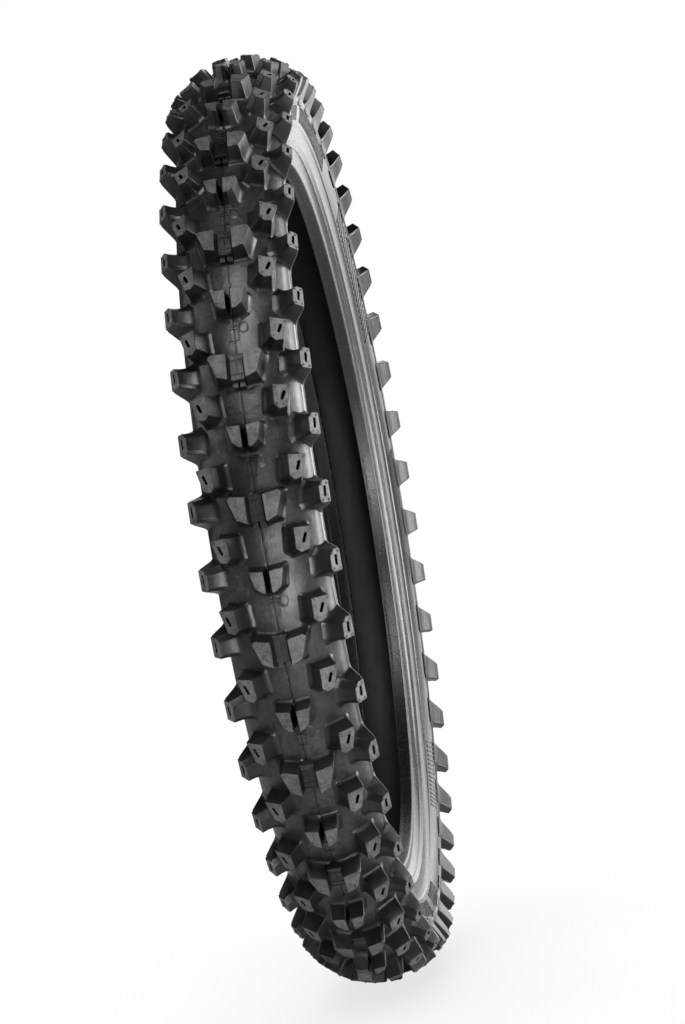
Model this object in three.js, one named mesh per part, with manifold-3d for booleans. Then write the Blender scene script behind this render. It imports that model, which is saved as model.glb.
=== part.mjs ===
// A 21 inch front motocross tyre, built up from the pieces that are cured together in the mould.
// Millimetres. The axle runs along Y and the tyre stands upright, with +Z up.
//
// The cross-section is drawn in (across, out): across is the distance from the middle plane of the
// wheel, out is the distance from the axle. Every curve of the crown shares one centre, so a place on
// the crown is given as a fan angle, from the middle plane, and a reach, from that centre.
import * as THREE from 'three';
import { ConvexGeometry } from 'three/addons/geometries/ConvexGeometry.js';
import { mergeVertices } from 'three/addons/utils/BufferGeometryUtils.js';
import Module from 'manifold-3d';

const wasm = await Module();
wasm.setup();

// ---- driving dimensions ------------------------------------------------------------------------
const outerRadius = 350;      // axle to the top of the middle knobs
const crownReach = 57;        // crown centre to the knob tops
const knobHeight = 13;
const pitchCount = 46;        // rows of knobs round the wheel
const facetCount = 36;        // flat facets round each turned piece
const patternStart = -65.5;   // degrees, where row 0 sits below the horizontal
const rimLineFan = 64.5;      // degrees, where the tread stops and the side begins
const rimLineReach = 42.4;    // crown centre to the skin there, where the side tucks in
const crownWall = 8.6;        // whole wall under the tread
const shoulderWall = 6.7;     // whole wall at the rim line
const gap = 0.3;              // clearance between neighbouring pieces
const plyThickness = 0.9;
const treadBase = 3.3;        // rubber under the floor between the knobs
const sideRubber = 2;
const stripThickness = 1.1;   // woven strip round the bead
const coreHeight = 4.2;

const crownCentre = outerRadius - crownReach;
const floorReach = crownReach - knobHeight;

const radians = THREE.MathUtils.degToRad;

// ---- the cross-section of the wall ---------------------------------------------------------------
const onCrown = (fan, reach) => [
  reach * Math.sin(radians(fan)),
  crownCentre + reach * Math.cos(radians(fan)),
];

// Each station joins a point of the outer skin to the point of the cavity across the wall from it.
const crownStations = [0, 32].map((fan) => ({
  skin: onCrown(fan, floorReach),
  cavity: onCrown(fan, floorReach - crownWall),
}));
const stations = [
  ...crownStations,
  {
    skin: onCrown(rimLineFan, rimLineReach),
    cavity: onCrown(rimLineFan, rimLineReach - shoulderWall),
  },
  { skin: [36.6, 301], cavity: [31.1, 302.6] },
  { skin: [32.6, 289.7], cavity: [26.3, 292.4] },
  { skin: [28.8, 282], cavity: [19.5, 285.4] },
];
const rimLine = crownStations.length;
const beadTop = stations.length - 1;

// The bead, from the outer side down, round the base and up the inner side.
const beadSkin = [stations[beadTop].skin, [23.5, 272], [23.5, 267.5], [13.4, 265], [13.1, 272]];

const towards = (from, to, distance) => {
  const length = Math.hypot(to[0] - from[0], to[1] - from[1]);
  return from.map((value, axis) => value + ((to[axis] - value) * distance) / length);
};
const fromSkin = (station, depth) => towards(station.skin, station.cavity, depth);
const fromCavity = (station, depth) => towards(station.cavity, station.skin, depth);
const mirrored = (points) => points.map(([across, out]) => [-across, out]);

// The line that runs the given depth inside a path, on the left of its direction of travel
// seen with across to the right and out upwards.
function inset(path, depth) {
  const normals = path.slice(1).map((point, index) => {
    const [run, rise] = [point[0] - path[index][0], point[1] - path[index][1]];
    const length = Math.hypot(run, rise);
    return [rise / length, -run / length];
  });
  return path.map((point, index) => {
    const before = normals[Math.max(index - 1, 0)];
    const after = normals[Math.min(index, normals.length - 1)];
    const share = depth / (1 + before[0] * after[0] + before[1] * after[1]);
    return point.map((value, axis) => value + (before[axis] + after[axis]) * share);
  });
}

// A layer that runs round the crown and is the same on both sides of the middle plane.
function symmetricBand(outerHalf, innerHalf) {
  const outer = [...mirrored(outerHalf.slice(1)).reverse(), ...outerHalf];
  const inner = [...mirrored(innerHalf.slice(1)).reverse(), ...innerHalf];
  return [...outer, ...inner.reverse()];
}

// ---- outlines of the pieces ----------------------------------------------------------------------
const onSkin = (depth) => (station) => fromSkin(station, depth);
const onCavity = (depth) => (station) => fromCavity(station, depth);

function treadOutline() {
  const half = stations.slice(0, rimLine + 1);
  return symmetricBand(half.map(onSkin(0)), half.map(onSkin(treadBase)));
}

function breakerOutline() {
  const thickness = 1.4;
  const depth = treadBase + gap;
  const outer = crownStations.map(onSkin(depth));
  const inner = crownStations.map(onSkin(depth + thickness));
  return symmetricBand(outer, inner);
}

const linerDepth = plyThickness;
const innerPlyDepth = linerDepth + gap + plyThickness;
const outerPlyDepth = innerPlyDepth + gap + plyThickness;

function linerOutline() {
  return symmetricBand(stations.map(onCavity(linerDepth)), stations.map(onCavity(0)));
}

// The outer ply lies on the inner ply round the crown and against the side rubber at the bead.
function outerPlyOutline() {
  const round = stations.slice(0, beadTop);
  const last = stations[beadTop];
  const depth = sideRubber + gap;
  const outerLine = round.map(onCavity(outerPlyDepth));
  const innerLine = round.map(onCavity(outerPlyDepth - plyThickness));
  const outerEnd = fromSkin(last, depth);
  const innerEnd = fromSkin(last, depth + plyThickness);
  return symmetricBand([...outerLine, outerEnd], [...innerLine, innerEnd]);
}

// The inner ply goes down the inner side of each bead, under it, and up again outside it.
const turnUpDepth = sideRubber + gap + plyThickness + gap;
const plyRoundBead = stripThickness + gap;

function innerPlyOutline() {
  const last = stations[beadTop];
  const cavityFace = stations.map(onCavity(innerPlyDepth - plyThickness));
  const coreFace = stations.map(onCavity(innerPlyDepth));
  const wrapOuter = inset(beadSkin, plyRoundBead).slice(1).reverse();
  const wrapInner = inset(beadSkin, plyRoundBead + plyThickness).slice(1).reverse();
  const turnUpOuter = fromSkin(last, turnUpDepth);
  const turnUpInner = fromSkin(last, turnUpDepth + plyThickness);
  const right = [...cavityFace, ...wrapOuter, turnUpOuter];
  const left = [...coreFace, ...wrapInner, turnUpInner];
  return symmetricBand(left, right);
}

function sidewallOutline() {
  const column = stations.slice(rimLine);
  const lowered = column.map(({ skin, cavity }, index) => {
    const drop = index === 0 ? gap : 0;
    return { skin: [skin[0], skin[1] - drop], cavity: [cavity[0], cavity[1] - drop] };
  });
  return [...lowered.map(onSkin(0)), ...lowered.map(onSkin(sideRubber)).reverse()];
}

// The strip fills the side of the bead out to the turned-up ply, wraps under it at one thickness and
// climbs the inner side to meet the liner.
function rimStripOutline() {
  const top = stations[beadTop];
  const dropped = ([across, out]) => [across - gap / 2, out - gap];
  const wrapOuter = beadSkin.slice(1);
  const wrapInner = inset(beadSkin, stripThickness).slice(1);
  const besidePly = dropped(fromSkin(top, turnUpDepth - gap));
  const besideLiner = dropped(fromCavity(top, linerDepth));
  const outer = [dropped(top.skin), ...wrapOuter, dropped(top.cavity)];
  const inner = [besidePly, ...wrapInner, besideLiner];
  return [...outer, ...inner.reverse()];
}

const coreDepth = plyRoundBead + plyThickness + gap;

function beadCoreOutline() {
  const [, , outerFoot, innerFoot] = inset(beadSkin, coreDepth);
  return [
    outerFoot,
    [outerFoot[0], outerFoot[1] + coreHeight],
    [innerFoot[0], innerFoot[1] + coreHeight],
    innerFoot,
  ];
}

// A wedge on top of the core, with its tip between the two plies.
function beadFillerOutline() {
  const top = stations[beadTop];
  const [, , outerFoot, innerFoot] = inset(beadSkin, coreDepth);
  const base = coreHeight + gap;
  const tipRise = 6;
  const besideInnerPly = onCavity(innerPlyDepth + gap);
  const tip = towards(besideInnerPly(top), besideInnerPly(stations[beadTop - 1]), tipRise);
  return [
    [outerFoot[0], outerFoot[1] + base],
    fromSkin(top, turnUpDepth + plyThickness + gap),
    tip,
    besideInnerPly(top),
    [innerFoot[0], innerFoot[1] + base],
  ];
}

// ---- turning an outline round the axle -----------------------------------------------------------
function signedArea(outline) {
  return outline.reduce((sum, point, index) => {
    const next = outline[(index + 1) % outline.length];
    return sum + (point[0] * next[1] - next[0] * point[1]) / 2;
  }, 0);
}

// The outline is put anticlockwise, seen with out to the right and across upwards, so faces point out.
function turned(outline) {
  const ordered = signedArea(outline) < 0 ? outline : [...outline].reverse();
  const profile = [...ordered, ordered[0]].map(([across, out]) => new THREE.Vector2(out, across));
  const quarterTurn = 90;
  return new THREE.LatheGeometry(profile, facetCount, radians(patternStart + quarterTurn));
}

// ---- knobs ---------------------------------------------------------------------------------------
// A knob outline lists (along, across) corners: along follows the turning of the pattern, across points
// away from the middle plane, both from the middle of the knob's top.
const wideBlock = [[-7.4, -5.2], [-8.9, 5.4], [-7.2, 7.6], [7.4, 2.8], [10.8, -4.9]];
const narrowBlock = [[-5.9, -4.7], [-6.7, 5.1], [4.9, 2.2], [8.4, -1.8], [9, -4.7]];
const innerShoulder = [[-7.7, -6.4], [-7.3, 7], [7.8, 2.2], [9.2, -3.6], [6.3, -7]];
const edgeKnob = [[-7, -3.4], [-7, 4.4], [7.2, 4.4], [7.2, -5]];

const degreesOnCrown = (distance) => THREE.MathUtils.radToDeg(distance / crownReach);
const wideFan = degreesOnCrown(10.8);
const narrowFan = degreesOnCrown(6.6);

// How far a knob goes into the rubber below the floor. The edge knobs stand where the floor falls away.
const rootDepth = 3;
const edgeRootDepth = 4.5;

// One pair of rows: a wide middle pair, then a narrow one, with the shoulder knobs stepping in and out.
const patternUnit = [
  { turn: 0.083, fan: wideFan, outline: wideBlock, root: rootDepth },
  { turn: 1.083, fan: narrowFan, outline: narrowBlock, root: rootDepth },
  { turn: 0.602, fan: 29.1, outline: innerShoulder, root: rootDepth },
  { turn: 1.602, fan: 32.7, outline: innerShoulder, root: rootDepth },
  { turn: 0, fan: 50.6, outline: edgeKnob, root: edgeRootDepth },
  { turn: 1, fan: 50.6, outline: edgeKnob, root: edgeRootDepth },
];
const rowsPerUnit = 2;

// Maps (along, across, up) beside a point of the crown to the row's axes.
function crownFrame(turn, fan, reach) {
  const angle = radians(patternStart + (360 * turn) / pitchCount);
  const outward = new THREE.Vector3(Math.cos(angle), 0, -Math.sin(angle));
  const along = new THREE.Vector3(-Math.sin(angle), 0, -Math.cos(angle));
  const sideways = new THREE.Vector3(0, 1, 0);
  const lean = radians(fan);
  const up = outward.clone().multiplyScalar(Math.cos(lean)).addScaledVector(sideways, Math.sin(lean));
  const across = sideways.clone().multiplyScalar(Math.cos(lean)).addScaledVector(outward, -Math.sin(lean));
  const centre = outward.clone().multiplyScalar(crownCentre).addScaledVector(up, reach);
  return (onAlong, onAcross, onUp) => centre.clone()
    .addScaledVector(along, onAlong)
    .addScaledVector(across, onAcross)
    .addScaledVector(up, onUp);
}

// A block with sloping sides that stands on the floor between the knobs and is rooted in the rubber.
function knob(turn, fan, side, outline, root) {
  const footSpread = 1.04;
  const place = crownFrame(turn, side * fan, crownReach);
  const corners = outline.flatMap(([along, across]) => [
    place(along, side * across, 0),
    place(along * footSpread, side * across * footSpread, -knobHeight - root),
  ]);
  return new ConvexGeometry(corners);
}

function allKnobs() {
  const knobs = [];
  for (let row = 0; row < pitchCount; row += rowsPerUnit) {
    for (const side of [-1, 1]) {
      for (const { turn, fan, outline, root } of patternUnit) {
        knobs.push(knob(row + turn, fan, side, outline, root));
      }
    }
  }
  return knobs;
}

// ---- solids --------------------------------------------------------------------------------------
function toManifold(geometry) {
  geometry.deleteAttribute('normal');
  geometry.deleteAttribute('uv');
  const merged = mergeVertices(geometry, 1e-4);
  return new wasm.Manifold(new wasm.Mesh({
    numProp: 3,
    vertProperties: new Float32Array(merged.attributes.position.array),
    triVerts: new Uint32Array(merged.index.array),
  }));
}

function toGeometry(solid) {
  const mesh = solid.getMesh();
  const geometry = new THREE.BufferGeometry();
  geometry.setAttribute('position', new THREE.BufferAttribute(new Float32Array(mesh.vertProperties), 3));
  geometry.setIndex(new THREE.BufferAttribute(new Uint32Array(mesh.triVerts), 1));
  return geometry;
}

function treadGeometry() {
  const blocks = wasm.Manifold.union(allKnobs().map(toManifold));
  return toGeometry(toManifold(turned(treadOutline())).add(blocks));
}

const finishes = {
  tread_rubber: { color: 0x1b1c1e, roughness: 0.62, metalness: 0 },
  side_rubber: { color: 0x141517, roughness: 0.38, metalness: 0 },
  strip_fabric: { color: 0x2a2a2b, roughness: 0.85, metalness: 0 },
  liner_rubber: { color: 0x101011, roughness: 0.7, metalness: 0 },
  ply_cord: { color: 0x6d5a43, roughness: 0.8, metalness: 0 },
  filler_rubber: { color: 0x232220, roughness: 0.6, metalness: 0 },
  bead_wire: { color: 0xb08d57, roughness: 0.35, metalness: 1 },
};

const group = new THREE.Group();

function addPiece(name, geometry, finish) {
  geometry.computeVertexNormals();
  const mesh = new THREE.Mesh(geometry, new THREE.MeshStandardMaterial(finishes[finish]));
  mesh.name = name;
  group.add(mesh);
}

addPiece('tread', treadGeometry(), 'tread_rubber');
addPiece('breaker', turned(breakerOutline()), 'ply_cord');
addPiece('outer_ply', turned(outerPlyOutline()), 'ply_cord');
addPiece('inner_ply', turned(innerPlyOutline()), 'ply_cord');
addPiece('inner_liner', turned(linerOutline()), 'liner_rubber');

const pairedPieces = [
  { name: 'sidewall', outline: sidewallOutline(), finish: 'side_rubber' },
  { name: 'rim_strip', outline: rimStripOutline(), finish: 'strip_fabric' },
  { name: 'bead_core', outline: beadCoreOutline(), finish: 'bead_wire' },
  { name: 'bead_filler', outline: beadFillerOutline(), finish: 'filler_rubber' },
];
for (const { name, outline, finish } of pairedPieces) {
  addPiece(`${name}_right`, turned(outline), finish);
  addPiece(`${name}_left`, turned(mirrored(outline)), finish);
}

export default group;
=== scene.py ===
"""A 21 inch front motocross tyre: fine moulded rubber over the CAD casing, in a pale studio."""
import math

import bpy
import bmesh
import numpy as np
from mathutils import Matrix, Vector


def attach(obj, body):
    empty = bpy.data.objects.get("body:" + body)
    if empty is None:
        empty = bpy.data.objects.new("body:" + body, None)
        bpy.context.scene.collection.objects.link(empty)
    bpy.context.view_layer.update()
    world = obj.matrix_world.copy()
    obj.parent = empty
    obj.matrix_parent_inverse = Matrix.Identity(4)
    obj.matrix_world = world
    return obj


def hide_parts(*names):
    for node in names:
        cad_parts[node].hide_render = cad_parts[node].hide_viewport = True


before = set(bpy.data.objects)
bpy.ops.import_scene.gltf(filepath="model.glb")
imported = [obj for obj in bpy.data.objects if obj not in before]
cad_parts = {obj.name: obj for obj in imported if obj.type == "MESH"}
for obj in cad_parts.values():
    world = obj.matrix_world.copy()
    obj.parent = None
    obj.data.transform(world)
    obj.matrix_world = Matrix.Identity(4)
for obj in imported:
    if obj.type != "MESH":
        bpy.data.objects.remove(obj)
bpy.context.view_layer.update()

# Sizes are in millimetres until a mesh is made. The axle is Y. "across" is the distance from the
# middle plane of the wheel, "out" is the distance from the axle, and "fan" is the angle, in degrees
# from the middle plane, about the centre that every curve of the crown shares.
MM = 0.001
OUTER_RADIUS = 350.0
CROWN_REACH = 57.0
KNOB_HEIGHT = 13.0
PITCHES = 46
PATTERN_START = -65.5
RIM_LINE_FAN = 64.5
CROWN_CENTRE = OUTER_RADIUS - CROWN_REACH
FLOOR_REACH = CROWN_REACH - KNOB_HEIGHT
TREAD_BASE = 3.3
CROWN_WALL = 8.6
TUCK_START_FAN = 51.0  # where the floor begins to tuck inside its circle
TUCK_DEPTH = 2.2  # how far inside it is at the rim line
ROUND_STEPS = PITCHES * 8
SMOOTH_ANGLE = 40  # degrees between faces above which an edge stays sharp


# ---- meshes ----------------------------------------------------------------------------------


class Shape:
    """Collects points and faces in millimetres, with a material index for each face."""

    def __init__(self):
        self.points = []
        self.faces = []
        self.materials = []

    def add(self, points, faces, materials):
        start = len(self.points)
        self.points.extend(map(tuple, points))
        self.faces.extend([start + i for i in face] for face in faces)
        self.materials.extend(materials)

    def loft(self, rings, materials=None):
        """A closed skin through rings of equal length, with a flat cap at each end."""
        count = len(rings[0])
        materials = materials or [0] * (len(rings) + 1)
        start = len(self.points)
        for ring in rings:
            self.points.extend(map(tuple, ring))
        self.faces.append([start + i for i in reversed(range(count))])
        self.materials.append(materials[0])
        for level in range(len(rings) - 1):
            low = start + level * count
            high = low + count
            for i in range(count):
                j = (i + 1) % count
                self.faces.append([low + i, low + j, high + j, high + i])
                self.materials.append(materials[level + 1])
        last = start + (len(rings) - 1) * count
        self.faces.append([last + i for i in range(count)])
        self.materials.append(materials[-1])

    def to_object(self, name, materials):
        mesh = bpy.data.meshes.new(name)
        points = np.array(self.points) * MM
        mesh.from_pydata(points.tolist(), [], self.faces)
        mesh.polygons.foreach_set("material_index", self.materials)
        mesh.polygons.foreach_set("use_smooth", [True] * len(self.faces))
        build = bmesh.new()
        build.from_mesh(mesh)
        bmesh.ops.recalc_face_normals(build, faces=build.faces)
        build.to_mesh(mesh)
        build.free()
        mesh.set_sharp_from_angle(angle=math.radians(SMOOTH_ANGLE))
        for material in materials:
            mesh.materials.append(material)
        made = bpy.data.objects.new(name, mesh)
        bpy.context.collection.objects.link(made)
        weighted = made.modifiers.new("even_shading", "WEIGHTED_NORMAL")
        weighted.keep_sharp = True
        return made


def turned_points(profile, angles):
    """Rings of points for a closed (across, out) profile at each angle round the axle."""
    profile = np.array(profile)
    across = np.broadcast_to(profile[:, 0], (len(angles), len(profile)))
    return np.stack(
        [
            np.outer(np.cos(angles), profile[:, 1]),
            across,
            -np.outer(np.sin(angles), profile[:, 1]),
        ],
        axis=-1,
    )


def add_turned(shape, profile, steps=ROUND_STEPS, materials=None):
    """Turns a closed profile round the axle. materials holds one index for each profile edge."""
    angles = np.linspace(0, 2 * math.pi, steps, endpoint=False)
    points = turned_points(profile, angles).reshape(-1, 3)
    count = len(profile)
    faces = []
    for step in range(steps):
        here = step * count
        there = (step + 1) % steps * count
        for i in range(count):
            j = (i + 1) % count
            faces.append([here + i, here + j, there + j, there + i])
    shape.add(points, faces, list(materials or [0] * count) * steps)


def on_crown(fan, reach):
    angle = math.radians(fan)
    return [reach * math.sin(angle), CROWN_CENTRE + reach * math.cos(angle)]


def smooth_path(points, per_span=6):
    """A Catmull-Rom curve through the points."""
    points = np.array(points, dtype=float)
    padded = np.vstack([2 * points[0] - points[1], points, 2 * points[-1] - points[-2]])
    path = []
    for p0, p1, p2, p3 in zip(padded, padded[1:], padded[2:], padded[3:]):
        for t in np.linspace(0, 1, per_span, endpoint=False):
            path.append(
                0.5
                * (
                    2 * p1
                    + (p2 - p0) * t
                    + (2 * p0 - 5 * p1 + 4 * p2 - p3) * t**2
                    + (3 * p1 - p0 - 3 * p2 + p3) * t**3
                )
            )
    path.append(points[-1])
    return [list(point) for point in path]


# ---- knobs -----------------------------------------------------------------------------------


def crown_place(turn, fan, reach=CROWN_REACH):
    """Maps (along, across, up) rows, beside a place on the crown, to points in the row frame."""
    angle = math.radians(PATTERN_START + 360 * turn / PITCHES)
    lean = math.radians(fan)
    outward = np.array([math.cos(angle), 0, -math.sin(angle)])
    along = np.array([-math.sin(angle), 0, -math.cos(angle)])
    sideways = np.array([0, 1, 0])
    up = outward * math.cos(lean) + sideways * math.sin(lean)
    across = sideways * math.cos(lean) - outward * math.sin(lean)
    centre = outward * CROWN_CENTRE + up * reach
    axes = np.array([along, across, up])
    return lambda rows: centre + np.asarray(rows) @ axes


def floor_height(along, across, fan, reach=CROWN_REACH):
    """How high the floor lies beside the point at this reach, measured along its own up direction."""
    drop = along**2 / (2 * (CROWN_CENTRE + FLOOR_REACH)) * math.cos(math.radians(fan))
    tuck = side_tuck(fan + np.degrees(np.arcsin(across / FLOOR_REACH)))
    return np.sqrt(FLOOR_REACH**2 - across**2) - reach - drop - tuck


def side_tuck(fan):
    """How far the floor tucks inside its circle on the way down to the rim line."""
    share = (np.abs(fan) - TUCK_START_FAN) / (RIM_LINE_FAN - TUCK_START_FAN)
    return TUCK_DEPTH * np.clip(share, 0, 1.2) ** 1.5


def rounded_outline(corners, radius, grow=0.0, steps=4):
    """The corners of a convex outline, rounded, then moved outwards by grow. Also its normals."""
    corners = np.array(corners, dtype=float)
    if signed_area(corners) < 0:
        corners = corners[::-1]
    edges = np.roll(corners, -1, axis=0) - corners
    normals = np.stack([edges[:, 1], -edges[:, 0]], axis=1)
    normals /= np.linalg.norm(normals, axis=1)[:, None]
    points = []
    directions = []
    for i, corner in enumerate(corners):
        before = normals[i - 1]
        after = normals[i]
        centre = corner - radius * (before + after) / (1 + before @ after)
        start = math.atan2(before[1], before[0])
        turn = (math.atan2(after[1], after[0]) - start) % (2 * math.pi)
        for angle in start + turn * np.linspace(0, 1, steps):
            direction = np.array([math.cos(angle), math.sin(angle)])
            directions.append(direction)
            points.append(centre + (radius + grow) * direction)
    return np.array(points), np.array(directions)


def signed_area(corners):
    x, y = np.array(corners, dtype=float).T
    return 0.5 * float(np.sum(x * np.roll(y, -1) - np.roll(x, -1) * y))


def slot_outline(directions, half_length, half_width, lean):
    """A round-ended slot with one point for each direction of the outline round it."""
    axis = np.array([math.cos(math.radians(lean)), math.sin(math.radians(lean))])
    ends = np.where(directions @ axis >= 0, 1.0, -1.0)
    return ends[:, None] * half_length * axis + half_width * directions


# Corners are (along, across) from the middle of the knob's top: along follows the pattern round,
# across points away from the middle plane. Each foot corner lies below its own top corner.
WIDE_BLOCK = {
    "top": [(-7.4, -5.2), (-8.9, 5.4), (-7.2, 7.6), (7.4, 2.8), (10.8, -4.9)],
    "foot": [(-8.4, -5.5), (-10.2, 6.6), (-8.8, 11.4), (9.4, 6.8), (12.4, -5.2)],
    "pips": [(-6.4, 5.1), (5.4, 1.4)],
}
NARROW_BLOCK = {
    "top": [(-5.9, -4.7), (-6.7, 5.1), (4.9, 2.2), (8.4, -1.8), (9.0, -4.7)],
    "foot": [(-7.2, -4.9), (-8.0, 7.4), (6.4, 5.4), (10.2, 0.0), (10.6, -4.9)],
    "pips": [(-5.2, 2.8), (3.4, 0.9)],
}
SHOULDER_KNOB = {
    "top": [(-7.7, -6.4), (-7.3, 7.0), (7.8, 2.2), (9.2, -3.6), (6.3, -7.0)],
    "foot": [(-8.3, -7.4), (-8.6, 9.4), (9.4, 6.6), (11.0, -4.2), (7.2, -8.6)],
    "slot": {"half_length": 2.4, "half_width": 0.9, "lean": -24},
    "pips": [(-5.9, -4.4), (-5.6, 5.0), (5.6, -4.6)],
}
EDGE_KNOB = {
    "top": [(-3.4, -5.0), (-7.0, -1.2), (-7.0, 4.3), (7.3, 4.3), (7.6, -4.0), (5.2, -5.4)],
    "foot": [(-4.0, -8.6), (-9.0, -4.2), (-11.4, 10.2), (12.0, 10.2), (9.0, -8.0), (6.2, -9.2)],
    "slot": {"half_length": 2.5, "half_width": 0.95, "lean": -4},
    "pips": [(-4.6, -2.4), (-5.2, 2.6), (5.6, -2.6), (5.6, 2.6)],
}

# Shares of the way up a flank. Below zero is inside the rubber under the floor.
FLANK_SHARES = [-0.05, 0.0, 0.015, 0.04, 0.08, 0.13, 0.2, 0.3, 0.45, 0.65, 0.85]
INNER_SWEEP = 2.2  # the inner corners sweep up in a curve, and the outer corners rise straight
FOOT_FLARE = 1.9  # how far the small fillet at the foot reaches out over the floor
FLARE_POWER = 14  # how quickly that fillet fades up the flank
ROOT_GROWTH = 10  # how fast the knob widens below the floor, for each share of its height
TOP_RADIUS = 0.75
FOOT_RADIUS = 1.7
# (drop below the top, how far the side swells), round the top edge.
TOP_EDGE = [(1.0, 0.0), (0.35, -0.03), (0.1, -0.14), (0.0, -0.42)]
TOP = 1  # material index of the knob tops
FLANK = 2  # material index of the knob flanks


def mirrored(points, side):
    return [(along, side * across) for along, across in points]


def add_knob(shape, kind, turn, fan, side):
    place = crown_place(turn, side * fan)
    top = np.array(mirrored(kind["top"], side))
    foot = np.array(mirrored(kind["foot"], side))
    sweep = np.where(top[:, 1:] * side < 0, INNER_SWEEP, 1.0)
    rings = []
    for share in FLANK_SHARES:
        left = 1 - max(share, 0)
        level = top + (foot - top) * left**sweep
        grow = FOOT_FLARE * left**FLARE_POWER + ROOT_GROWTH * max(-share, 0)
        outline, _ = rounded_outline(level, TOP_RADIUS + (FOOT_RADIUS - TOP_RADIUS) * left, grow)
        floor = floor_height(outline[:, 0], outline[:, 1], side * fan)
        rings.append(place(np.column_stack([outline, floor * (1 - share)])))
    for drop, grow in TOP_EDGE:
        outline, directions = rounded_outline(top, TOP_RADIUS, grow)
        rings.append(place(np.column_stack([outline, np.full(len(outline), -drop)])))
    flanks = [FLANK] * len(rings)
    if "slot" not in kind:
        shape.loft(rings, [*flanks, TOP])
    else:
        slot_levels = [(0.0, 0.25), (-0.3, 0.0), (-3.2, -0.1)]
        for height, grow in slot_levels:
            slot = dict(kind["slot"])
            slot["half_width"] += grow
            slot["lean"] *= side
            outline = slot_outline(directions, **slot)
            rings.append(place(np.column_stack([outline, np.full(len(outline), height)])))
        shape.loft(rings, [*flanks, TOP, FLANK, FLANK, FLANK])
    for along, across in mirrored(kind["pips"], side):
        add_pip(shape, place, along, across)


def add_pip(shape, place, along, across, radius=0.9, height=0.45):
    """A low round moulding mark with a dished middle."""
    angles = np.linspace(0, 2 * math.pi, 10, endpoint=False)
    circle = np.column_stack([np.cos(angles), np.sin(angles)])
    rings = []
    for scale, level in [(1.0, -0.2), (1.0, 0.7), (0.85, 1.0), (0.55, 1.0), (0.4, 0.1)]:
        ring = circle * radius * scale + [along, across]
        rings.append(place(np.column_stack([ring, np.full(len(ring), height * level)])))
    shape.loft(rings, [TOP] * 6)


def add_bar(shape, place, along, across, low, high, taper=0.25):
    """A straight-sided pad between two heights. along and across are (from, to) pairs."""
    rings = []
    for height, inset in [(low, 0.0), (high - taper, 0.0), (high, taper)]:
        a0, a1 = along[0] + inset, along[1] - inset
        c0, c1 = across[0] + inset, across[1] - inset
        corners = [(a0, c0, height), (a1, c0, height), (a1, c1, height), (a0, c1, height)]
        rings.append(place(corners))
    shape.loft(rings)


def add_tie_bar(shape, turn):
    """The low platform in the groove of a wide pair, crossed by thin ridges, with a step at its end."""
    place = crown_place(turn, 0)
    half = 4.9
    platform = -7.2
    step = platform - 2.6
    ridge = 0.4
    line = 0.3
    inside = half - 0.5
    add_bar(shape, place, (-8.8, 9.4), (-half, half), -KNOB_HEIGHT - 1, platform)
    for side in (-1, 1):
        pad = sorted((side * 0.5, side * (half - 0.6)))
        add_bar(shape, place, (9.0, 13.4), pad, -KNOB_HEIGHT - 1, step)
    low = platform - 1
    high = platform + ridge
    for edge in (-8.3, -4.5, 5.2, 8.9):
        add_bar(shape, place, (edge - line, edge + line), (-inside, inside), low, high, 0.15)
    for edge in (-inside, 0, inside):
        add_bar(shape, place, (-4.5, 5.2), (edge - line, edge + line), low, high, 0.15)


def add_slit_bar(shape, turn):
    """The low bridge at the bottom of a narrow pair's slit."""
    place = crown_place(turn, 0)
    add_bar(shape, place, (-6.6, 8.4), (-2.4, 2.4), -KNOB_HEIGHT - 1, -10.6)
    add_bar(shape, place, (-6.0, 8.0), (-0.25, 0.25), -11.6, -9.6, 0.1)


def add_floor_marks(shape, unit):
    """Low moulding marks on the floor beside one narrow pair: a fork, a framed box and a soft pad."""
    add_fork(shape, crown_place(unit + 0.77, 0, FLOOR_REACH))
    box = crown_place(unit + 1.52, 0, FLOOR_REACH)
    line = 0.35
    rise = 0.5
    for edge in (-5.4, -3.0, 5.4):
        add_bar(shape, box, (edge - line, edge + line), (-3.4, 3.4), -0.8, rise, 0.15)
    for edge in (-3.1, 3.1):
        add_bar(shape, box, (-5.4, 5.4), (edge - line, edge + line), -0.8, rise, 0.15)
    add_pad(shape, unit + 1.44, 8.5)


def add_fork(shape, place):
    for lean in (-28, 0, 28):
        angle = math.radians(lean)
        run = np.array([math.cos(angle), math.sin(angle)])
        rise = np.array([-run[1], run[0]])
        corners = [run * a + rise * b for a, b in [(-3.6, -0.25), (0, -0.25), (0, 0.25), (-3.6, 0.25)]]
        rings = []
        for height in (-0.6, 0.3):
            rings.append(place([(*corner, height) for corner in corners]))
        shape.loft(rings)


def add_pad(shape, turn, fan):
    """A low oval swelling of the floor."""
    place = crown_place(turn, fan, FLOOR_REACH)
    angles = np.linspace(0, 2 * math.pi, 28, endpoint=False)
    oval = np.column_stack([4.4 * np.cos(angles), 3.6 * np.sin(angles)])
    rings = []
    for scale, rise in [(1.15, -0.2), (1.0, 0.0), (0.9, 0.11), (0.75, 0.24), (0.5, 0.38), (0.2, 0.44)]:
        flat = oval * scale
        rings.append(place(np.column_stack([flat, floor_height(*flat.T, fan, FLOOR_REACH) + rise])))
    shape.loft(rings)


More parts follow.
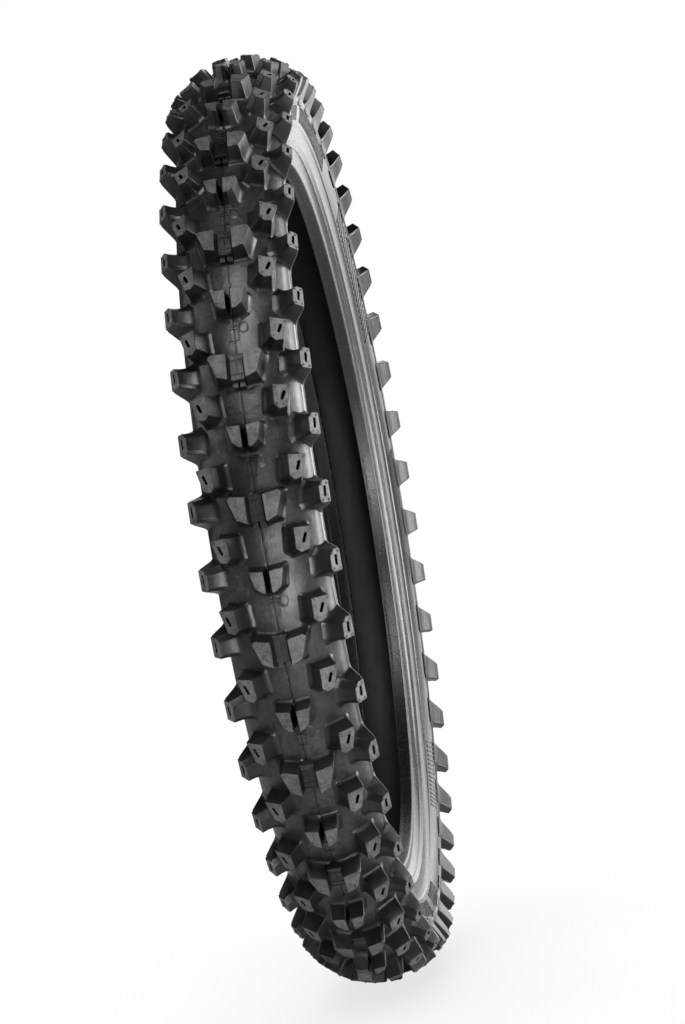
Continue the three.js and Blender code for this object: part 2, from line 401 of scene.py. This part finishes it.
def tread_profile():
    """The band that carries the knobs: outer floor with a fine centre line, then the underside."""
    fans = [-RIM_LINE_FAN + 2 * i for i in range(32)]
    left = [fan for fan in fans if fan < -1.2]
    outer = [on_crown(fan, FLOOR_REACH - side_tuck(fan)) for fan in left]
    centre_line = [(-0.75, 0.0), (-0.5, -0.12), (-0.3, -0.5), (0.3, -0.5), (0.5, -0.12), (0.75, 0.0)]
    middle = [on_crown(fan, FLOOR_REACH + depth) for fan, depth in centre_line]
    right = [[-across, out] for across, out in reversed(outer)]
    under_fans = np.linspace(RIM_LINE_FAN, -RIM_LINE_FAN, 17)
    under = [on_crown(fan, FLOOR_REACH - side_tuck(fan) - TREAD_BASE) for fan in under_fans]
    return outer + middle + right + under


WIDE_TURN = 0.083  # rows past the start of the unit, for the wide pair
NARROW_TURN = 1.083
EDGE_FAN = 50.6
# One pair of rows on each side of the middle: (kind, turn in rows, fan in degrees).
PATTERN_UNIT = [
    (WIDE_BLOCK, WIDE_TURN, math.degrees(10.8 / CROWN_REACH)),
    (NARROW_BLOCK, NARROW_TURN, math.degrees(6.6 / CROWN_REACH)),
    (SHOULDER_KNOB, 0.602, 29.1),
    (SHOULDER_KNOB, 1.602, 32.7),
    (EDGE_KNOB, 0, EDGE_FAN),
    (EDGE_KNOB, 1, EDGE_FAN),
]
ROWS_PER_UNIT = 2


def build_tread():
    shape = Shape()
    add_turned(shape, tread_profile())
    for row in range(0, PITCHES, ROWS_PER_UNIT):
        for side in (-1, 1):
            for kind, turn, fan in PATTERN_UNIT:
                add_knob(shape, kind, row + turn, fan, side)
        add_tie_bar(shape, row + WIDE_TURN)
        add_slit_bar(shape, row + NARROW_TURN)
        add_floor_marks(shape, row)
    return shape


# ---- sides, beads and lining -------------------------------------------------------------------

# (across, out) down the right side of the tyre, from the rim line to the top of the bead.
SIDE_SKIN = [
    (36.5, 315.3),
    (37.2, 314.8),
    (37.8, 313.6),
    (38.2, 312.4),
    (38.2, 311.4),
    (37.9, 310.5),
    (37.3, 309.9),
    (37.0, 308.7),
    (36.2, 304.5),
    (34.9, 300.0),
    (33.5, 296.2),
    (32.9, 294.6),
    (32.7, 293.8),
    (32.2, 293.1),
    (31.8, 292.7),
    (31.5, 291.8),
    (31.0, 290.6),
    (30.5, 289.2),
    (30.0, 287.4),
    (29.5, 285.2),
    (29.15, 283.4),
    (28.9, 282.0),
]
# The hidden inner face of the side rubber, from the bead back up to the rim line.
SIDE_BACK = [
    (26.9, 283.1),
    (27.8, 286.6),
    (29.2, 290.6),
    (31.6, 296.3),
    (33.9, 302.0),
    (35.0, 308.0),
    (35.2, 311.6),
]

# Round the bead: down the outer side, past the fitting line, under the base and up inside.
BEAD_SKIN = [
    (28.9, 281.9),
    (28.1, 280.4),
    (27.2, 278.7),
    (27.0, 278.1),
    (27.0, 277.5),
    (26.4, 277.0),
    (25.8, 276.4),
    (24.8, 274.5),
    (23.8, 272.8),
    (23.35, 271.6),
    (23.2, 269.6),
    (23.1, 268.3),
    (22.6, 267.3),
    (21.8, 266.7),
    (17.0, 265.8),
    (14.8, 264.9),
    (13.7, 264.6),
    (13.2, 264.9),
    (13.0, 266.0),
    (12.8, 271.9),
    (14.3, 275.6),
    (19.1, 285.3),
]
BEAD_BACK = [(20.2, 285.0), (14.4, 272.0), (14.6, 267.6), (22.2, 268.9), (22.4, 272.0), (25.8, 283.0)]
HEEL = (23.1, 268.3)

# Plain ribbed panels on the side: (from, to, spacing) in degrees round the wheel.
SIDE_PANELS = [(94, 102, 0.9), (125, 139, 0.9), (168, 188, 0.45), (208, 233, 1.1), (246, 270, 0.9)]


def build_side(side):
    shape = Shape()
    profile = [(side * across, out) for across, out in SIDE_SKIN + SIDE_BACK]
    add_turned(shape, profile)
    for half_turn in (0, 180):
        for start, end, spacing in SIDE_PANELS:
            add_ribbed_panel(shape, side, start + half_turn, end + half_turn, spacing)
    return shape


def add_ribbed_panel(shape, side, start, end, spacing):
    """Plain slanting ribs on the side, in the band between the rim line and the step below it."""
    slant = 1.1
    half_width = spacing * 0.17
    low_out, high_out = 296.5, 307.0
    for angle in np.arange(start, end, spacing):
        rings = []
        for depth, scale in [(-0.6, 1.0), (0.45, 1.0), (0.6, 0.6)]:
            ring = []
            for out, offset, sign in [
                (low_out, 0, -1),
                (low_out, 0, 1),
                (high_out, slant, 1),
                (high_out, slant, -1),
            ]:
                turn = math.radians(angle + offset + sign * half_width * scale)
                across = np.interp(out, [296.2, 300.0, 304.5, 308.7], [33.5, 34.9, 36.2, 37.1]) + depth
                ring.append((out * math.cos(turn), side * across, -out * math.sin(turn)))
            rings.append(ring)
        shape.loft(rings)


def build_strip(side):
    shape = Shape()
    profile = [(side * across, out) for across, out in BEAD_SKIN + BEAD_BACK]
    heel = BEAD_SKIN.index(HEEL)
    smooth_side = [1] * heel
    woven = [0] * (len(profile) - heel)
    add_turned(shape, profile, materials=smooth_side + woven)
    return shape


LINING = 0.9
SMOOTH_ROUND = 2.0  # the round lining stands this far inside the CAD's flat facets
LINING_REACH = FLOOR_REACH - CROWN_WALL - SMOOTH_ROUND


def liner_half():
    """Points of the cavity face, from the middle of the crown down to the right bead."""
    crown = [on_crown(fan, LINING_REACH) for fan in (0, 16, 32, 48, 62)]
    return crown + [(29.9, 302.0), (25.0, 292.0), (19.1, 285.5)]


def build_liner():
    shape = Shape()
    half = liner_half()
    left = [(-across, out) for across, out in reversed(half[1:])]
    cavity = smooth_path(left + half, per_span=5)
    back = []
    for index, (across, out) in enumerate(cavity):
        before = np.array(cavity[max(index - 1, 0)])
        after = np.array(cavity[min(index + 1, len(cavity) - 1)])
        run = after - before
        normal = np.array([-run[1], run[0]]) / np.linalg.norm(run)
        back.append([across + normal[0] * LINING, out + normal[1] * LINING])
    add_turned(shape, cavity + back[::-1])
    for step in range(PITCHES // 2):
        add_bladder_line(shape, step * 720 / PITCHES)
    return shape


def add_bladder_line(shape, start):
    """A thin slanting ridge that the curing bladder leaves across the lining."""
    rings = []
    for share in np.linspace(-1, 1, 15):
        fan = 52 * share
        turn = math.radians(start + 3.5 * share)
        ring = []
        for height, offset in [(0.35, -0.04), (-0.3, -0.02), (-0.3, 0.02), (0.35, 0.04)]:
            across, out = on_crown(fan, LINING_REACH + height)
            angle = turn + math.radians(offset)
            ring.append((out * math.cos(angle), across, -out * math.sin(angle)))
        rings.append(ring)
    shape.loft(rings)


# ---- materials ---------------------------------------------------------------------------------


PAINTED_SHADE_DISTANCE = 0.012  # metres, the size of gap that gets painted shade


class Nodes:
    """Shorthand for building one material's node tree."""

    def __init__(self, name):
        self.material = bpy.data.materials.new(name)
        self.material.use_nodes = True
        self.tree = self.material.node_tree
        self.surface = self.tree.nodes["Principled BSDF"]
        self.place = self.add("ShaderNodeTexCoord").outputs["Object"]

    def add(self, kind, inputs=None, **settings):
        node = self.tree.nodes.new(kind)
        for key, value in settings.items():
            setattr(node, key, value)
        for key, value in (inputs or {}).items():
            self.feed(node.inputs[key], value)
        return node

    def feed(self, socket, value):
        if isinstance(value, bpy.types.NodeSocket):
            self.tree.links.new(value, socket)
        else:
            socket.default_value = value

    def noise(self, scale, detail=4.0, roughness=0.55, place=None):
        inputs = {"Vector": place or self.place, "Scale": scale, "Detail": detail, "Roughness": roughness}
        return self.add("ShaderNodeTexNoise", inputs).outputs["Fac"]

    def ramp(self, factor, stops):
        node = self.add("ShaderNodeValToRGB", {"Fac": factor})
        node.color_ramp.elements[0].position = stops[0][0]
        node.color_ramp.elements[1].position = stops[-1][0]
        for position, _ in stops[1:-1]:
            node.color_ramp.elements.new(position)
        for element, (_, value) in zip(node.color_ramp.elements, stops):
            element.color = (*value, 1)
        return node.outputs["Color"]

    def span(self, factor, low, high):
        inputs = {"Value": factor, "To Min": low, "To Max": high}
        return self.add("ShaderNodeMapRange", inputs).outputs["Result"]

    def math(self, operation, first, second=0.0):
        return self.add("ShaderNodeMath", {0: first, 1: second}, operation=operation).outputs[0]

    def bump(self, height, distance, strength=1.0, normal=None):
        inputs = {"Height": height, "Distance": distance, "Strength": strength}
        if normal is not None:
            inputs["Normal"] = normal
        return self.add("ShaderNodeBump", inputs).outputs["Normal"]

    def round_place(self):
        """(distance round the wheel, across, out) in metres, for patterns that follow the tyre."""
        split = self.add("ShaderNodeSeparateXYZ", {"Vector": self.place}).outputs
        angle = self.math("ARCTAN2", split["Z"], split["X"])
        flat = self.add("ShaderNodeCombineXYZ", {"X": split["X"], "Z": split["Z"]}).outputs[0]
        out = self.add("ShaderNodeVectorMath", {0: flat}, operation="LENGTH").outputs["Value"]
        distance = self.math("MULTIPLY", angle, OUTER_RADIUS * MM)
        return distance, split["Y"], out

    def painted_shade(self, color):
        """The colour with painted shade: darker in gaps and corners, by ambient occlusion."""
        inputs = {"Color": color, "Distance": PAINTED_SHADE_DISTANCE}
        return self.add("ShaderNodeAmbientOcclusion", inputs, samples=8).outputs["Color"]

    def finish(self, color, roughness, normal, specular=0.5, painted_shade_specular=None):
        self.feed(self.surface.inputs["Base Color"], color)
        self.feed(self.surface.inputs["Roughness"], roughness)
        self.feed(self.surface.inputs["Normal"], normal)
        self.surface.inputs["Specular IOR Level"].default_value = specular
        # Painted shade on the specular level too: less reflection in gaps and corners.
        if painted_shade_specular is not None:
            white = (painted_shade_specular, painted_shade_specular, painted_shade_specular, 1)
            self.feed(self.surface.inputs["Specular IOR Level"], self.painted_shade(white))
        return self.material


def tread_rubber():
    nodes = Nodes("tread_rubber")
    dust = nodes.math("MULTIPLY", nodes.noise(28, 6, 0.7), nodes.noise(420, 4, 0.75))
    stops = [(0.15, (0.003, 0.003, 0.004)), (0.25, (0.011, 0.011, 0.012)), (0.38, (0.038, 0.038, 0.040))]
    color = nodes.ramp(dust, stops)
    roughness = nodes.span(nodes.noise(45, 6, 0.75), 0.12, 0.66)
    ripples = nodes.bump(nodes.noise(80, 4), 0.0012, 0.55)
    grain = nodes.bump(nodes.noise(520, 5, 0.7), 0.0003, 0.6, ripples)
    # Painted shade darkens the colour and the specular level in gaps and corners.
    return nodes.finish(nodes.painted_shade(color), roughness, grain, painted_shade_specular=0.55)


def knob_flank_shaded_rubber():
    nodes = Nodes("knob_flank_shaded_rubber")
    stains = nodes.math("MULTIPLY", nodes.noise(45, 5, 0.7), nodes.noise(480, 4, 0.75))
    # The flanks get a darker colour than the floor and tops: painted shade.
    color = nodes.ramp(stains, [(0.16, (0.002, 0.002, 0.002)), (0.38, (0.014, 0.014, 0.015))])
    roughness = nodes.span(nodes.noise(110, 5, 0.7), 0.22, 0.5)
    grain = nodes.bump(nodes.noise(420, 5, 0.7), 0.0003, 0.6)
    # Painted shade darkens the colour and the specular level in gaps and corners.
    return nodes.finish(nodes.painted_shade(color), roughness, grain, painted_shade_specular=0.5)


def knob_top_lit_rubber():
    nodes = Nodes("knob_top_lit_rubber")
    mottle = nodes.math("MULTIPLY", nodes.noise(240, 5, 0.75), nodes.noise(1100, 4, 0.8))
    top_patches = nodes.span(nodes.noise(22, 2), 0.45, 1.65)
    patched_mottle = nodes.math("MULTIPLY", mottle, top_patches)
    # The tops get a lighter colour than the floor and flanks. This is a painted highlight, and the large
    # patches vary its brightness at random.
    color = nodes.ramp(patched_mottle, [(0.14, (0.012, 0.012, 0.013)), (0.42, (0.135, 0.135, 0.138))])
    roughness = nodes.span(nodes.noise(340, 4, 0.7), 0.38, 0.66)
    grain = nodes.bump(nodes.noise(900, 5, 0.75), 0.0004, 0.8)
    return nodes.finish(color, roughness, grain)


def side_rubber():
    nodes = Nodes("side_rubber")
    distance, across, out = nodes.round_place()
    slow = nodes.math("MULTIPLY", distance, 0.08)
    stretched = nodes.add("ShaderNodeCombineXYZ", {"X": slow, "Y": across, "Z": out})
    rings = nodes.noise(900, 3, 0.6, stretched.outputs[0])
    color = nodes.ramp(nodes.noise(35, 3), [(0.3, (0.009, 0.009, 0.010)), (0.7, (0.018, 0.018, 0.019))])
    roughness = nodes.span(rings, 0.2, 0.34)
    lines = nodes.bump(rings, 0.0002, 0.3)
    grain = nodes.bump(nodes.noise(500, 4), 0.00015, 0.35, lines)
    return nodes.finish(color, roughness, grain)


def woven_strip():
    nodes = Nodes("woven_strip")
    distance, across, out = nodes.round_place()
    level = nodes.math("ADD", across, out)
    thread = 2 * math.pi / 0.0011
    warp = nodes.math("SINE", nodes.math("MULTIPLY", nodes.math("ADD", distance, level), thread))
    weft = nodes.math("SINE", nodes.math("MULTIPLY", nodes.math("SUBTRACT", distance, level), thread))
    weave = nodes.math("MULTIPLY", warp, weft)
    speckle = nodes.noise(800, 3, 0.7)
    color = nodes.ramp(speckle, [(0.4, (0.002, 0.002, 0.002)), (0.75, (0.012, 0.012, 0.012))])
    roughness = nodes.span(speckle, 0.15, 0.35)
    bump = nodes.bump(nodes.span(weave, 0, 1), 0.00008, 0.35)
    return nodes.finish(color, roughness, nodes.bump(speckle, 0.00005, 0.3, bump))


def liner_rubber():
    nodes = Nodes("liner_rubber")
    color = nodes.ramp(nodes.noise(40, 4), [(0.3, (0.003, 0.003, 0.003)), (0.75, (0.009, 0.009, 0.009))])
    roughness = nodes.span(nodes.noise(120, 4), 0.45, 0.7)
    return nodes.finish(color, roughness, nodes.bump(nodes.noise(300, 4), 0.0004, 0.5), specular=0.4)


def cord_ply():
    nodes = Nodes("cord_ply")
    distance, across, _ = nodes.round_place()
    cord = 2 * math.pi / 0.0012
    slant = nodes.math("ADD", distance, nodes.math("MULTIPLY", across, 0.9))
    ridges = nodes.math("SINE", nodes.math("MULTIPLY", slant, cord))
    color = nodes.ramp(nodes.span(ridges, 0, 1), [(0.0, (0.10, 0.07, 0.045)), (1.0, (0.34, 0.26, 0.17))])
    return nodes.finish(color, 0.7, nodes.bump(ridges, 0.0003, 0.7))


def filler_rubber():
    nodes = Nodes("filler_rubber")
    color = nodes.ramp(nodes.noise(60, 4), [(0.3, (0.02, 0.019, 0.018)), (0.7, (0.05, 0.048, 0.045))])
    return nodes.finish(color, 0.6, nodes.bump(nodes.noise(400, 4), 0.0003, 0.5))


def bead_wire():
    nodes = Nodes("bead_wire")
    _, across, out = nodes.round_place()
    strand = 2 * math.pi / 0.00096
    rows = nodes.math("SINE", nodes.math("MULTIPLY", across, strand))
    layers = nodes.math("SINE", nodes.math("MULTIPLY", out, strand))
    wires = nodes.math("MULTIPLY", rows, layers)
    color = nodes.ramp(nodes.span(wires, 0, 1), [(0.0, (0.30, 0.21, 0.10)), (1.0, (0.72, 0.55, 0.30))])
    nodes.surface.inputs["Metallic"].default_value = 1.0
    return nodes.finish(color, 0.3, nodes.bump(wires, 0.0003, 0.8))


# ---- putting the pieces on the frame -------------------------------------------------------------


def fit(shape, name, node, materials):
    piece = shape.to_object(name, materials)
    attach(piece, "root")
    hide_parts(node)
    return piece


def repaint(node, material):
    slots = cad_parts[node].material_slots
    for index in range(len(slots)):
        slots[index].material = material


def build_tyre():
    tread = [tread_rubber(), knob_top_lit_rubber(), knob_flank_shaded_rubber()]
    side = side_rubber()
    strip = woven_strip()
    fit(build_tread(), "moulded_tread", "tread", tread)
    for name, sign in (("right", 1), ("left", -1)):
        fit(build_side(sign), f"moulded_sidewall_{name}", f"sidewall_{name}", [side])
        fit(build_strip(sign), f"woven_strip_{name}", f"rim_strip_{name}", [strip, side])
    fit(build_liner(), "smooth_liner", "inner_liner", [liner_rubber()])
    cord = cord_ply()
    for node in ("breaker", "outer_ply", "inner_ply"):
        repaint(node, cord)
    filler = filler_rubber()
    wire = bead_wire()
    for name in ("right", "left"):
        repaint(f"bead_filler_{name}", filler)
        repaint(f"bead_core_{name}", wire)


# ---- studio --------------------------------------------------------------------------------------


def white_floor():
    """White for the camera with a painted contact shadow where the tyre stands, and a plain matt card to
    light.
    """
    material = bpy.data.materials.new("white_floor")
    material.use_nodes = True
    tree = material.node_tree
    tree.nodes.clear()
    path = tree.nodes.new("ShaderNodeLightPath")
    shade = tree.nodes.new("ShaderNodeAmbientOcclusion")
    shade.inputs["Distance"].default_value = 0.25
    level = tree.nodes.new("ShaderNodeMapRange")
    level.inputs["From Min"].default_value = 0.3
    level.inputs["From Max"].default_value = 0.97
    level.inputs["To Min"].default_value = 0.78
    glow = tree.nodes.new("ShaderNodeEmission")
    card = tree.nodes.new("ShaderNodeBsdfDiffuse")
    card.inputs["Color"].default_value = (0.6, 0.6, 0.6, 1)
    mix = tree.nodes.new("ShaderNodeMixShader")
    output = tree.nodes.new("ShaderNodeOutputMaterial")
    # Ambient occlusion paints the contact shadow into the floor's white for the camera.
    tree.links.new(shade.outputs["AO"], level.inputs["Value"])
    tree.links.new(level.outputs["Result"], glow.inputs["Strength"])
    tree.links.new(path.outputs["Is Camera Ray"], mix.inputs["Fac"])
    tree.links.new(card.outputs["BSDF"], mix.inputs[1])
    tree.links.new(glow.outputs["Emission"], mix.inputs[2])
    tree.links.new(mix.outputs["Shader"], output.inputs["Surface"])
    return material


def build_floor():
    size = 14.0
    gap = 0.0005
    low = -OUTER_RADIUS * MM - gap
    mesh = bpy.data.meshes.new("floor")
    corners = [(-size, -size, low), (size, -size, low), (size, size, low), (-size, size, low)]
    mesh.from_pydata(corners, [], [(0, 1, 2, 3)])
    mesh.materials.append(white_floor())
    floor = bpy.data.objects.new("floor", mesh)
    bpy.context.collection.objects.link(floor)


def build_world():
    """White behind the object for the camera, and a dim even light on the rubber."""
    world = bpy.data.worlds.new("studio")
    world.use_nodes = True
    bpy.context.scene.world = world
    tree = world.node_tree
    background = tree.nodes["Background"]
    path = tree.nodes.new("ShaderNodeLightPath")
    strength = tree.nodes.new("ShaderNodeMapRange")
    strength.inputs["To Min"].default_value = 0.02
    strength.inputs["To Max"].default_value = 1.0
    tree.links.new(path.outputs["Is Camera Ray"], strength.inputs["Value"])
    tree.links.new(strength.outputs["Result"], background.inputs["Strength"])
    background.inputs["Color"].default_value = (1, 1, 1, 1)


def add_softbox(name, position, target, size, power, spread=180):
    data = bpy.data.lights.new(name, "AREA")
    data.shape = "RECTANGLE"
    data.size, data.size_y = size
    data.energy = power
    data.spread = math.radians(spread)
    box = bpy.data.objects.new(name, data)
    box.location = position
    box.rotation_euler = (Vector(target) - Vector(position)).to_track_quat("-Z", "Y").to_euler()
    box.visible_camera = False
    bpy.context.collection.objects.link(box)


def build_camera():
    """Looks at the tread from a little to the right of straight on, tilted to make the tyre lean."""
    turn = 0.1124
    roll = -0.1625
    distance = 2.3018
    focal_share = 3050.9 / 1024
    towards = Vector((math.cos(turn), math.sin(turn), 0))
    level = Vector((-math.sin(turn), math.cos(turn), 0))
    upright = Vector((0, 0, 1))
    right = level * math.cos(roll) + upright * math.sin(roll)
    up = upright * math.cos(roll) - level * math.sin(roll)
    data = bpy.data.cameras.new("camera")
    data.sensor_width = 36
    data.lens = focal_share * data.sensor_width
    data.shift_x = 24.0 / 1024
    data.shift_y = 5.8 / 1024
    data.clip_start = 0.05
    camera = bpy.data.objects.new("camera", data)
    axes = Matrix((right, up, towards)).transposed()
    camera.matrix_world = Matrix.Translation(towards * distance) @ axes.to_4x4()
    bpy.context.collection.objects.link(camera)
    bpy.context.scene.camera = camera


def build_studio():
    build_floor()
    build_world()
    front = (0.3, 0, 0)
    centre = (0, 0, 0)
    add_softbox("high_box", (1.9, 0.35, 1.9), front, (1.5, 0.9), 58)
    add_softbox("low_box", (1.25, 0.35, -0.3), (0.33, 0, -0.16), (0.7, 0.3), 1.5, spread=45)
    add_softbox("right_box", (-0.5, 2.1, 0.1), centre, (1.3, 2.4), 150)
    add_softbox("white_wall", (-3.0, 0.75, 0.8), (0, 0.75, 0.8), (2.7, 2.2), 47)
    add_softbox("left_box", (0.3, -2.4, 0.9), centre, (1.8, 1.4), 20)
    build_camera()
    bpy.context.scene.view_settings.view_transform = "Standard"


build_tyre()
build_studio()
